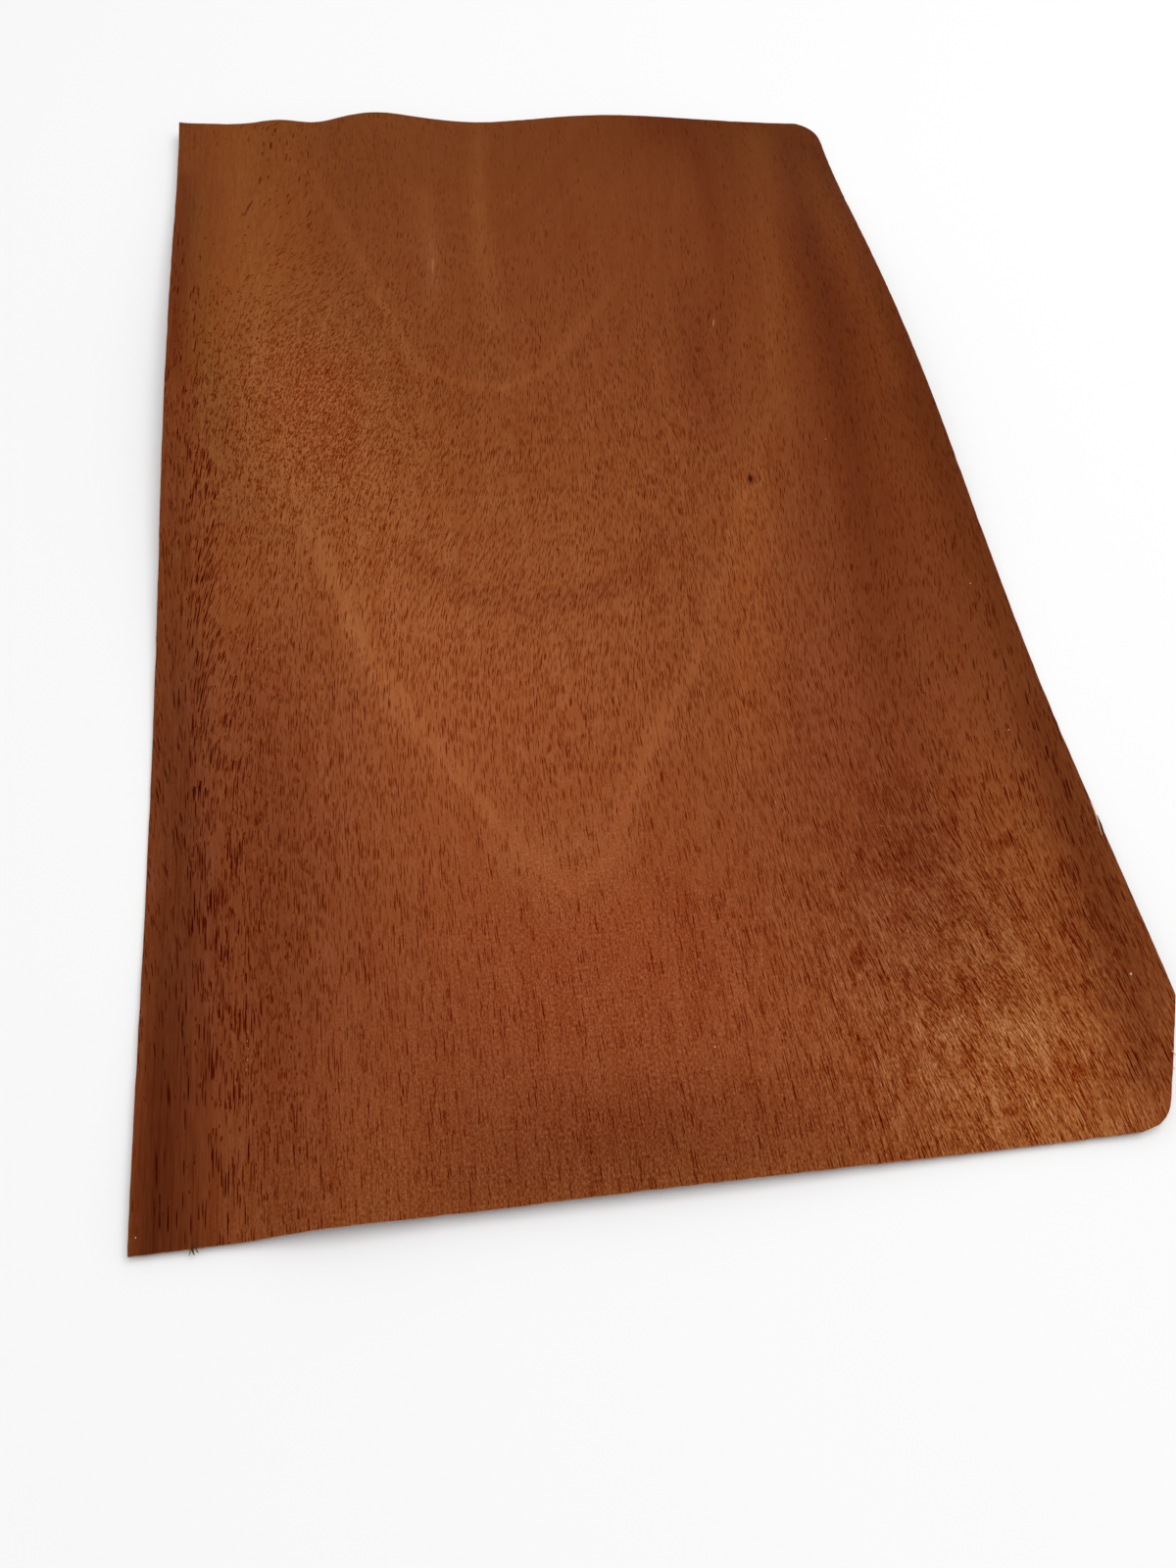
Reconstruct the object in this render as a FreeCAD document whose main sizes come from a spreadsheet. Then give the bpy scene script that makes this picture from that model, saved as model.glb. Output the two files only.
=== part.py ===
"""Wood veneer sheet: one thin leaf of sliced hardwood, cut to a rectangle with a square left side
and two corners taken off on the right, that lies slightly waved instead of dead flat.

X runs across the sheet, Y along the grain away from the viewer, Z up. The origin is the middle of
the sheet at the level of the surface that it lies on.
"""
import FreeCAD, Part
import Sketcher
import os

# Driving sizes in millimetres. A share is a place on the sheet, as a part of its width or length.
SIZES = {
    "sheet_width": 200.0,
    "sheet_length": 334.0,
    "sheet_thickness": 0.6,
    # How much larger the leaf is sliced, on every side, before it is trimmed to its outline
    "trim_allowance": 3.0,
    # Where the crests and dips of the waves run along the sheet, counted from the left edge
    "left_dip_share": 0.10,
    "ripple_share": 0.14,
    "ripple_dip_share": 0.208,
    "main_wave_share": 0.285,
    "main_dip_share": 0.44,
    "broad_wave_share": 0.645,
    "broad_dip_share": 0.86,
    # Where the cross sections stand, counted from the near edge
    "near_fade_share": 0.126,
    "foot_share": 0.344,
    "swell_share": 0.629,
    "far_fade_share": 0.823,
    # How high the far edge stands at each crest and dip
    "far_left_corner_rise": 4.3,
    "far_left_dip_rise": 2.3,
    "far_ripple_rise": 6.2,
    "far_ripple_dip_rise": 1.5,
    "far_main_wave_rise": 9.2,
    "far_broad_wave_rise": 7.5,
    "far_broad_dip_rise": 1.4,
    # How high the near edge stands
    "near_left_corner_rise": 1.0,
    "near_ripple_rise": 4.1,
    "near_ripple_dip_rise": 3.6,
    "near_main_wave_rise": 2.4,
    "near_main_dip_rise": 3.2,
    "near_broad_wave_rise": 1.9,
    "near_right_corner_rise": 1.9,
    # Lifts the whole leaf so that its lowest spot just touches the surface that it lies on
    "touch_down_rise": 0.1,
    # How much of the edge waves is left a fifth of the way in
    "near_fade": 0.35,
    "far_fade": 0.45,
    # How high the long sides stand between their ends
    "near_left_side_rise": 0.7,
    "near_right_side_rise": 2.3,
    "foot_rise": 0.15,
    "foot_left_rise": 0.7,
    "left_swell_rise": 6.4,
    "right_swell_rise": 4.7,
    "swell_shoulder": 0.45,
    "swell_middle_rise": 0.7,
    "far_left_side_rise": 5.0,
    "far_right_side_rise": 2.4,
    "far_right_corner_rise": 1.1,
    # Corner cuts on the right
    "far_clip_width": 6.5,
    "far_clip_length": 8.5,
    "far_clip_radius": 9.0,
    "near_clip_width": 11.0,
    "near_clip_length": 25.5,
    "near_corner_radius": 8.0,
}

# The lines along the sheet that every cross section has a spline pole on
LINES = ("left_edge", "left_dip", "ripple", "ripple_dip", "main_wave", "main_dip", "broad_wave",
         "broad_dip", "right_edge")

# Each cross section: where it stands along the sheet and how high its poles are, 0 where not said
SECTIONS = {
    "NearEdgeSection": ("-Sizes.trim_allowance", {
        "left_edge": "Sizes.near_left_corner_rise",
        "ripple": "Sizes.near_ripple_rise",
        "ripple_dip": "Sizes.near_ripple_dip_rise",
        "main_wave": "Sizes.near_main_wave_rise",
        "main_dip": "Sizes.near_main_dip_rise",
        "broad_wave": "Sizes.near_broad_wave_rise",
        "right_edge": "Sizes.near_right_corner_rise",
    }),
    "NearFadeSection": ("Sizes.near_fade_share * Sizes.sheet_length", {
        "left_edge": "Sizes.near_left_side_rise",
        "left_dip": "Sizes.near_left_side_rise / 2",
        "ripple": "Sizes.near_ripple_rise * Sizes.near_fade",
        "ripple_dip": "Sizes.near_ripple_dip_rise * Sizes.near_fade",
        "main_wave": "Sizes.near_main_wave_rise * Sizes.near_fade",
        "main_dip": "Sizes.near_main_dip_rise * Sizes.near_fade",
        "broad_wave": "Sizes.near_broad_wave_rise * Sizes.near_fade",
        "right_edge": "Sizes.near_right_side_rise",
    }),
    "FootSection": ("Sizes.foot_share * Sizes.sheet_length", {
        "left_edge": "Sizes.foot_left_rise",
        "left_dip": "Sizes.foot_left_rise / 2",
        "ripple": "Sizes.foot_rise",
        "ripple_dip": "Sizes.foot_rise",
        "main_wave": "Sizes.foot_rise",
        "main_dip": "Sizes.foot_rise",
        "broad_wave": "Sizes.foot_rise",
        "broad_dip": "Sizes.foot_rise",
        "right_edge": "Sizes.foot_rise",
    }),
    "SwellSection": ("Sizes.swell_share * Sizes.sheet_length", {
        "left_edge": "Sizes.left_swell_rise",
        "left_dip": "Sizes.left_swell_rise * Sizes.swell_shoulder",
        "ripple": "Sizes.left_swell_rise * Sizes.swell_shoulder ^ 2",
        "ripple_dip": "Sizes.swell_middle_rise",
        "main_wave": "Sizes.swell_middle_rise",
        "main_dip": "Sizes.swell_middle_rise",
        "broad_wave": "Sizes.swell_middle_rise",
        "broad_dip": "Sizes.right_swell_rise * Sizes.swell_shoulder",
        "right_edge": "Sizes.right_swell_rise",
    }),
    "FarFadeSection": ("Sizes.far_fade_share * Sizes.sheet_length", {
        "left_edge": "Sizes.far_left_side_rise",
        "left_dip": "Sizes.far_left_dip_rise * Sizes.far_fade",
        "ripple": "Sizes.far_ripple_rise * Sizes.far_fade",
        "ripple_dip": "Sizes.far_ripple_dip_rise * Sizes.far_fade",
        "main_wave": "Sizes.far_main_wave_rise * Sizes.far_fade",
        "broad_wave": "Sizes.far_broad_wave_rise * Sizes.far_fade",
        "broad_dip": "Sizes.far_broad_dip_rise * Sizes.far_fade",
        "right_edge": "Sizes.far_right_side_rise",
    }),
    "FarEdgeSection": ("Sizes.sheet_length + Sizes.trim_allowance", {
        "left_edge": "Sizes.far_left_corner_rise",
        "left_dip": "Sizes.far_left_dip_rise",
        "ripple": "Sizes.far_ripple_rise",
        "ripple_dip": "Sizes.far_ripple_dip_rise",
        "main_wave": "Sizes.far_main_wave_rise",
        "broad_wave": "Sizes.far_broad_wave_rise",
        "broad_dip": "Sizes.far_broad_dip_rise",
        "right_edge": "Sizes.far_right_corner_rise",
    }),
}

UPRIGHT = FreeCAD.Rotation(FreeCAD.Vector(1, 0, 0), 90)
CURVE_DEGREE = 3
LOFT_DEGREE = 4
START, END, CENTRE = 1, 2, 3
ORIGIN_POINT = (-1, 1)


def make_sheet_of_sizes(doc):
    """The spreadsheet with every driving size in a named cell."""
    sheet = doc.addObject("Spreadsheet::Sheet", "Sizes")
    for row, (alias, value) in enumerate(SIZES.items(), start=1):
        sheet.set(f"A{row}", alias)
        sheet.set(f"B{row}", str(value))
        sheet.setAlias(f"B{row}", alias)
    doc.recompute()
    return sheet


def place_across(line):
    """How far from the left edge a line runs, as an expression."""
    if line == "left_edge":
        return "-Sizes.trim_allowance"
    if line == "right_edge":
        return "Sizes.sheet_width + Sizes.trim_allowance"
    return f"Sizes.{line}_share * Sizes.sheet_width"


def bind_point(sketch, geometry, position, name, across, up):
    """Tie a sketch point to its distances from the sketch's origin."""
    point = sketch.getPoint(geometry, position)
    for kind, label, start, expression in (("DistanceX", "across", point.x, across),
                                           ("DistanceY", "up", point.y, up)):
        index = sketch.addConstraint(
            Sketcher.Constraint(kind, *ORIGIN_POINT, geometry, position, start))
        sketch.renameConstraint(index, f"{name}_{label}")
        sketch.setExpression(f"Constraints.{name}_{label}", expression)


def add_face_curve(sketch, side, rises, lift):
    """One face of the sheet in a cross section: a spline with a pole on each line."""
    guess = [FreeCAD.Vector(20.0 * step, 1.0 + lift, 0) for step in range(len(LINES))]
    curve = Part.BSplineCurve()
    curve.buildFromPoles(guess, False, CURVE_DEGREE)
    spline = sketch.addGeometry(curve, False)
    sketch.exposeInternalGeometry(spline)
    for step, line in enumerate(LINES):
        rise = rises.get(line, "0")
        up = rise if lift == 0 else f"{rise} + Sizes.sheet_thickness"
        bind_point(sketch, spline + 1 + step, CENTRE, f"{side}_{line}", place_across(line), up)
    return spline


def add_section(doc, name, station, rises):
    """A closed thin cross section of the leaf, standing upright at its place along the grain."""
    sketch = doc.addObject("Sketcher::SketchObject", name)
    sketch.Placement.Rotation = UPRIGHT
    sketch.setExpression("Placement.Base.x", "-Sizes.sheet_width / 2")
    sketch.setExpression("Placement.Base.y", f"{station} - Sizes.sheet_length / 2")
    sketch.setExpression("Placement.Base.z", "Sizes.touch_down_rise")
    under = add_face_curve(sketch, "under", rises, 0)
    over = add_face_curve(sketch, "over", rises, SIZES["sheet_thickness"])
    for end in (START, END):
        edge = add_line(sketch, sketch.getPoint(under, end), sketch.getPoint(over, end))
        sketch.addConstraint(Sketcher.Constraint("Coincident", edge, START, under, end))
        sketch.addConstraint(Sketcher.Constraint("Coincident", edge, END, over, end))
    return sketch


def add_line(sketch, start, end):
    """A straight edge of a sketch."""
    return sketch.addGeometry(Part.LineSegment(start, end), False)


def bind_radius(sketch, arc, name):
    """Tie an arc's radius to its cell, which its dimension is named after."""
    index = sketch.addConstraint(Sketcher.Constraint("Radius", arc, SIZES[name]))
    sketch.renameConstraint(index, name)
    sketch.setExpression(f"Constraints.{name}", f"Sizes.{name}")


def add_outline(sketch):
    """The sheet's outline from above: square on the left, with both right corners cut off."""
    half_width = SIZES["sheet_width"] / 2
    half_length = SIZES["sheet_length"] / 2
    radius = SIZES["near_corner_radius"]
    near_left = FreeCAD.Vector(-half_width, -half_length, 0)
    far_left = FreeCAD.Vector(-half_width, half_length, 0)
    clip_foot = FreeCAD.Vector(half_width - SIZES["near_clip_width"], -half_length, 0)
    clip_top = FreeCAD.Vector(half_width, SIZES["near_clip_length"] - half_length, 0)
    side_top = FreeCAD.Vector(half_width, half_length - SIZES["far_clip_length"], 0)
    far_end = FreeCAD.Vector(half_width - SIZES["far_clip_width"], half_length, 0)
    far_corner = FreeCAD.Vector(half_width, half_length, 0)
    up_the_clip = FreeCAD.Vector(clip_top - clip_foot).normalize()
    level_end = clip_foot - FreeCAD.Vector(radius / 2, 0, 0)
    slant_end = clip_foot + up_the_clip * (radius / 2)

    near = add_line(sketch, near_left, level_end)
    middle = clip_foot * 0.6 + (level_end + slant_end) * 0.2
    near_round = sketch.addGeometry(Part.Arc(level_end, middle, slant_end), False)
    slant = add_line(sketch, slant_end, clip_top)
    side = add_line(sketch, clip_top, side_top)
    middle = far_corner * 0.2 + (side_top + far_end) * 0.4
    far_round = sketch.addGeometry(Part.Arc(side_top, middle, far_end), False)
    far = add_line(sketch, far_end, far_left)
    left = add_line(sketch, far_left, near_left)
    foot = sketch.addGeometry(Part.Point(clip_foot), True)

    sketch.addConstraint(Sketcher.Constraint("Tangent", near, END, near_round, START))
    sketch.addConstraint(Sketcher.Constraint("Tangent", near_round, END, slant, START))
    for first, second in ((slant, side), (side, far_round), (far_round, far), (far, left),
                          (left, near)):
        sketch.addConstraint(Sketcher.Constraint("Coincident", first, END, second, START))
    sketch.addConstraint(Sketcher.Constraint("PointOnObject", foot, START, near))
    sketch.addConstraint(Sketcher.Constraint("PointOnObject", foot, START, slant))
    right_side = "Sizes.sheet_width / 2"
    far_side = "Sizes.sheet_length / 2"
    for geometry, name, across, up in (
            (near, "near_left", f"-{right_side}", f"-{far_side}"),
            (foot, "clip_foot", f"{right_side} - Sizes.near_clip_width", f"-{far_side}"),
            (side, "clip_top", right_side, f"Sizes.near_clip_length - {far_side}"),
            (far_round, "side_top", right_side, f"{far_side} - Sizes.far_clip_length"),
            (far, "far_end", f"{right_side} - Sizes.far_clip_width", far_side),
            (left, "far_left", f"-{right_side}", far_side)):
        bind_point(sketch, geometry, START, name, across, up)
    bind_radius(sketch, near_round, "near_corner_radius")
    bind_radius(sketch, far_round, "far_clip_radius")


def make_leaf(doc):
    """The leaf as sliced: one smooth thin solid through all the cross sections."""
    sections = [add_section(doc, name, station, rises)
                for name, (station, rises) in SECTIONS.items()]
    leaf = doc.addObject("Part::Loft", "SlicedLeaf")
    leaf.Sections = sections
    leaf.Solid = True
    leaf.MaxDegree = LOFT_DEGREE
    return leaf


def make_outline_block(doc):
    """A block with the sheet's outline that stands far higher and lower than the waves."""
    sketch = doc.addObject("Sketcher::SketchObject", "TrimOutline")
    add_outline(sketch)
    block = doc.addObject("Part::Extrusion", "OutlineBlock")
    block.Base = sketch
    block.DirMode = "Normal"
    block.Solid = True
    block.Symmetric = True
    block.setExpression("LengthFwd", "Sizes.sheet_width")
    return block


def check_document(doc, sheet):
    """Stop if any object of the document failed or the sheet isn't one sound solid."""
    for item in doc.Objects:
        if "Invalid" in item.State or "Error" in item.State:
            raise RuntimeError(f"{item.Name} failed: {item.State}")
    if sheet.Shape.isNull() or not sheet.Shape.isValid() or len(sheet.Shape.Solids) != 1:
        raise RuntimeError("the sheet is not one sound solid")


def main():
    """Build the sheet and write its file."""
    doc = FreeCAD.newDocument("WoodVeneerSheet")
    make_sheet_of_sizes(doc)
    sheet = doc.addObject("Part::Common", "VeneerSheet")
    sheet.Label = "veneer_sheet"
    sheet.Base = make_leaf(doc)
    sheet.Tool = make_outline_block(doc)
    doc.recompute()
    check_document(doc, sheet)
    os.makedirs("parts", exist_ok=True)
    sheet.Shape.exportStep(os.path.join("parts", sheet.Label + ".step"))
    print(sheet.Label, round(sheet.Shape.Volume, 1), "cubic millimetres")


main()
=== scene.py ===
"""The looks of one waved leaf of wood veneer: its figure, pores, cut edges and the few loose fibres
and dust specks on it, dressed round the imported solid.

Lengths in the tables are millimetres on the leaf, X across it and Y along the grain, counted from
its middle. The near end is at the lowest Y."""
import math

import bpy
import numpy as np
from bpy.props import FloatProperty, FloatVectorProperty, IntProperty, PointerProperty
from mathutils import Matrix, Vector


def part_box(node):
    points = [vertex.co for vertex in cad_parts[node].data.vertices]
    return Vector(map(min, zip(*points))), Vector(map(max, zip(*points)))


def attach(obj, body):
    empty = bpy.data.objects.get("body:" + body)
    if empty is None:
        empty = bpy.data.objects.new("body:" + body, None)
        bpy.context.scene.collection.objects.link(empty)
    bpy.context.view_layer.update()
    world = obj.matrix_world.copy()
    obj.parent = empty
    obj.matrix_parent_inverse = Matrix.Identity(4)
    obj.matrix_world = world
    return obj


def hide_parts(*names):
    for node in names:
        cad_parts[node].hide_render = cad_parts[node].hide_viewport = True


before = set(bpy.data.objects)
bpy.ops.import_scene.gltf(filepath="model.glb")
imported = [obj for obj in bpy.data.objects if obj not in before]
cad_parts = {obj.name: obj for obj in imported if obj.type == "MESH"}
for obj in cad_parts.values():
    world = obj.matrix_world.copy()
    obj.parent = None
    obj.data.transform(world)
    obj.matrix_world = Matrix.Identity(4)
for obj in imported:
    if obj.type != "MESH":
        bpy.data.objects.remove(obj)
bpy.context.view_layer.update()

bl_info = {
    "name": "Wood veneer sheet",
    "version": (1, 0, 0),
    "blender": (4, 5, 0),
    "location": "3D View > Sidebar > Veneer",
    "description": "Builds a waved veneer leaf with its figure, pores and cut edges",
    "category": "Add Mesh",
}

NODE = "veneer_sheet"
BODY = "root"
MM = 0.001

NODE_LOW, NODE_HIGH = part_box(NODE)
HALF_WIDTH = (NODE_HIGH.x - NODE_LOW.x) / 2 / MM
HALF_LENGTH = (NODE_HIGH.y - NODE_LOW.y) / 2 / MM

# The photograph's camera: its place in metres, the directions of its right, down and forward, and
# its lens and sensor in millimetres
CAMERA_PLACE = (-0.0464, -0.22914, 0.23496)
CAMERA_RIGHT = (0.98792, -0.13873, 0.06906)
CAMERA_DOWN = (-0.07899, -0.83419, -0.54579)
CAMERA_FORWARD = (0.13333, 0.53374, -0.83507)
CAMERA_LENS = 30.087
SENSOR_WIDTH = 36.0
CLIP_START = 0.01

# Lamp in metres, and how far the floor lies under the leaf in millimetres
LAMP_PLACE = (0.5, 0.1, 1.5)
LAMP_SIZE = 1.4
FLOOR_DROP = 0.05

# The surface through the solid's upper face: spans of the spline across and along the leaf
SPANS_ACROSS = 20
SPANS_ALONG = 12

# How each cut edge wanders: reach of the averaging in grid steps, and seed
CUT_WANDER = {"left": (2, 3), "right": (1, 4), "near": (1, 5), "far": (1, 6)}
# How much of the rows' spacing crowds to the ends, how many millimetres of rows follow a cut end,
# and the angle in degrees from which a rim is sharp
END_CROWDING = 0.25
END_REACH = 4.0
SHARP_ANGLE = 40

# Growth ring arches, each a line from its left foot over its tip to its right foot. The tips point
# towards the viewer. Rings between two arches are spread evenly between them, and beyond the outer
# and inner one a ring is so many millimetres wide.
OUTER_ARCH = (
    (-104, 420), (-90, 240), (-84, 160), (-79, 104), (-75, 61), (-71, 28), (-65, -2), (-59, -22),
    (-51, -47), (-41, -67), (-32, -82), (-24, -96), (-16, -104), (-7, -99), (-1, -84), (9, -66),
    (21, -47), (29, -29), (43, 4), (56, 38), (66, 81), (74, 121), (79, 158), (92, 270), (104, 380))
MIDDLE_ARCH = (
    (-104, 520), (-84, 260), (-76, 160), (-70, 100), (-64, 61), (-54, 28), (-49, 13), (-44, -9),
    (-37, -16), (-29, -24), (-16, -29), (-1, -27), (11, -21), (19, -9), (30, 15), (40, 45),
    (50, 80), (58, 121), (64, 165), (72, 230), (84, 330), (104, 520))
INNER_ARCH = (
    (-104, 640), (-76, 290), (-68, 190), (-62, 144), (-52, 111), (-44, 81), (-36, 56), (-24, 48),
    (-14, 46), (-4, 51), (6, 64), (16, 78), (24, 91), (31, 115), (38, 150), (46, 200), (60, 300),
    (104, 640))
RING_ARCHES = (OUTER_ARCH, MIDDLE_ARCH, INNER_ARCH)
RING_SPREAD_OUTSIDE = 150.0
RING_SPREAD_INSIDE = 80.0


def on_arch(arch, first, strengths):
    """A streak's points along an arch, from its point of that number on."""
    return tuple((*arch[first + step], strength) for step, strength in enumerate(strengths))


# Streaks: half width, the tone, red and amber that each adds at full strength, what else it adds,
# then points with the strength at each
STREAKS = {
    "outer light line, left arm": (2.1, (0.2, -0.2, 0), {"pores": -0.5, "ring_pores": -0.4},
        on_arch(OUTER_ARCH, 3, (0.1, 0.15, 0.3, 0.6, 0.8, 1.0, 0.8, 0.7, 0.6, 0.5))),
    "outer light line, right arm": (1.9, (0.2, -0.15, 0), {"pores": -0.5, "ring_pores": -0.4},
        on_arch(OUTER_ARCH, 12, (0.4, 0.6, 0.9, 1.0, 0.8, 0.6, 0.4))),
    "light beside the right arm": (7.0, (0.3, -0.1, 0.05), {}, (
        (28, -75, 0.5), (33, -50, 1.0), (38, -25, 1.0), (45, 5, 0.6))),
    "light beside the left arm": (7.0, (-0.1, -0.05, -0.05), {}, (
        (-72, 0, 0.5), (-67, -30, 1.0), (-59, -55, 1.0), (-52, -75, 0.4))),
    "right light band": (7.0, (0.2, -0.25, 0.1), {}, (
        (38, -10, 0.3), (47, 10, 0.5), (58, 38, 0.8), (67, 81, 1.0), (75, 121, 1.0),
        (79, 158, 1.0))),
    "inner light arch": (1.6, (0.2, -0.15, -0.1), {"pores": -0.35},
        on_arch(INNER_ARCH, 3, (0.5, 0.7, 0.8, 0.8, 1.0, 1.0, 0.9, 0.7, 0.5, 0.3))),
    "pore arch": (3.5, (-0.2, 0.2, -0.05), {"pores": 0.5},
        on_arch(MIDDLE_ARCH, 7, (0.6, 1.0, 1.0, 1.0, 1.0, 0.9, 0.5))),
    "light streak inside the left arm": (2.5, (0.1, -0.15, -0.2), {}, (
        (-64, 61, 0.5), (-54, 28, 0.8), (-49, 13, 1.0), (-42, -6, 0.4))),
    "far middle streak": (3.0, (0.25, -0.3, -0.15), {}, (
        (-9, 166, 0.4), (-12, 140, 0.8), (-14, 110, 1.0), (-14, 71, 0.6))),
    "far left streak": (3.0, (0.2, -0.4, -0.3), {}, (
        (-30, 130, 0.6), (-29, 100, 1.0), (-29, 80, 0.4))),
    "dark left side": (8.0, (-0.65, 0, -0.1), {"long_pores": 0.08, "pores": -0.3, "lines": 0.9}, (
        (-99, 167, 0.3), (-98, 100, 0.4), (-97, 30, 0.6), (-96, -20, 0.7), (-95, -60, 1.0),
        (-93, -110, 1.0), (-92, -167, 1.0))),
    "far left edge": (3.0, (-0.25, 0.5, 0.65), {}, (
        (-98, 140, 0.6), (-98, 90, 1.0), (-98, 50, 0.6))),
    "near left edge": (3.5, (-0.4, 0.15, 0.15), {}, (
        (-98, -100, 0.2), (-97, -135, 0.7), (-97, -167, 1.0))),
    "left long pores": (5.0, (0.1, -0.15, -0.25),
        {"long_pores": 0.8, "pores": -0.15, "lines": 0.2}, (
        (-92, 45, 0.4), (-90, 10, 0.9), (-88, -39, 1.0), (-87, -80, 1.0), (-85, -125, 0.9),
        (-83, -167, 0.4))),
    "golden far left": (8.0, (0.1, -0.25, -0.05), {}, (
        (-80, 167, 0.6), (-79, 121, 1.0), (-77, 60, 0.8), (-74, 20, 0.6), (-74, -20, 0.4))),
    "amber far left": (7.0, (0.05, 0.1, 0.5), {}, (
        (-88, 167, 1.0), (-90, 110, 0.6), (-92, 60, 1.0), (-91, 10, 0.6), (-88, -30, 0.7))),
    "golden left edge of the rings": (4.0, (-0.1, -0.5, -0.1), {}, (
        (-95, 130, 0.6), (-92, 80, 0.7), (-88, 40, 1.0), (-84, 5, 0.8))),
    "reddish left column": (9.0, (-0.2, 0.15, -0.1), {"ring_pores": 0.15, "pores": 0.1}, (
        (-78, -42, 0.7), (-78, -90, 1.0), (-76, -129, 1.0), (-74, -167, 0.5))),
    "wine streak": (8.5, (-0.25, 0.2, 0.15), {}, (
        (91, 160, 0.5), (86, 130, 0.7), (83, 111, 1.0), (79, 61, 1.0), (74, 21, 1.0),
        (69, -16, 0.9), (64, -49, 0.7), (60, -86, 0.5))),
    "wine core": (3.5, (-0.05, 0, -0.05), {}, (
        (82, 80, 0.5), (79, 61, 0.8), (75, 30, 0.9), (71, 0, 1.0), (67, -30, 1.0),
        (63, -55, 0.8), (58, -80, 0.4))),
    "small red streak": (4.0, (-0.1, 0.25, 0.15), {}, (
        (58, 150, 0.8), (57, 121, 1.0), (55, 91, 0.9), (48, 67, 0.6), (43, 45, 0.3))),
    "second red streak": (4.5, (-0.2, 0.3, -0.05), {}, (
        (43, 85, 0.4), (40, 65, 1.0), (38, 45, 1.0), (37, 25, 0.6))),
    "dark right side": (7.0, (-0.3, -0.1, 0.15), {}, (
        (98, 150, 0.7), (97, 90, 0.7), (97, 28, 1.0), (98, -40, 0.9), (99, -100, 0.8),
        (99, -140, 0.6))),
    "light far right": (4.0, (0.2, -0.05, -0.15), {}, (
        (93, 150, 0.8), (92, 110, 1.0), (92, 40, 0.8))),
    "near right edge": (6.0, (-0.5, 0.3, 0.1), {}, (
        (94, -70, 0.3), (93, -105, 0.8), (91, -130, 1.0), (89, -155, 1.0))),
}

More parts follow.
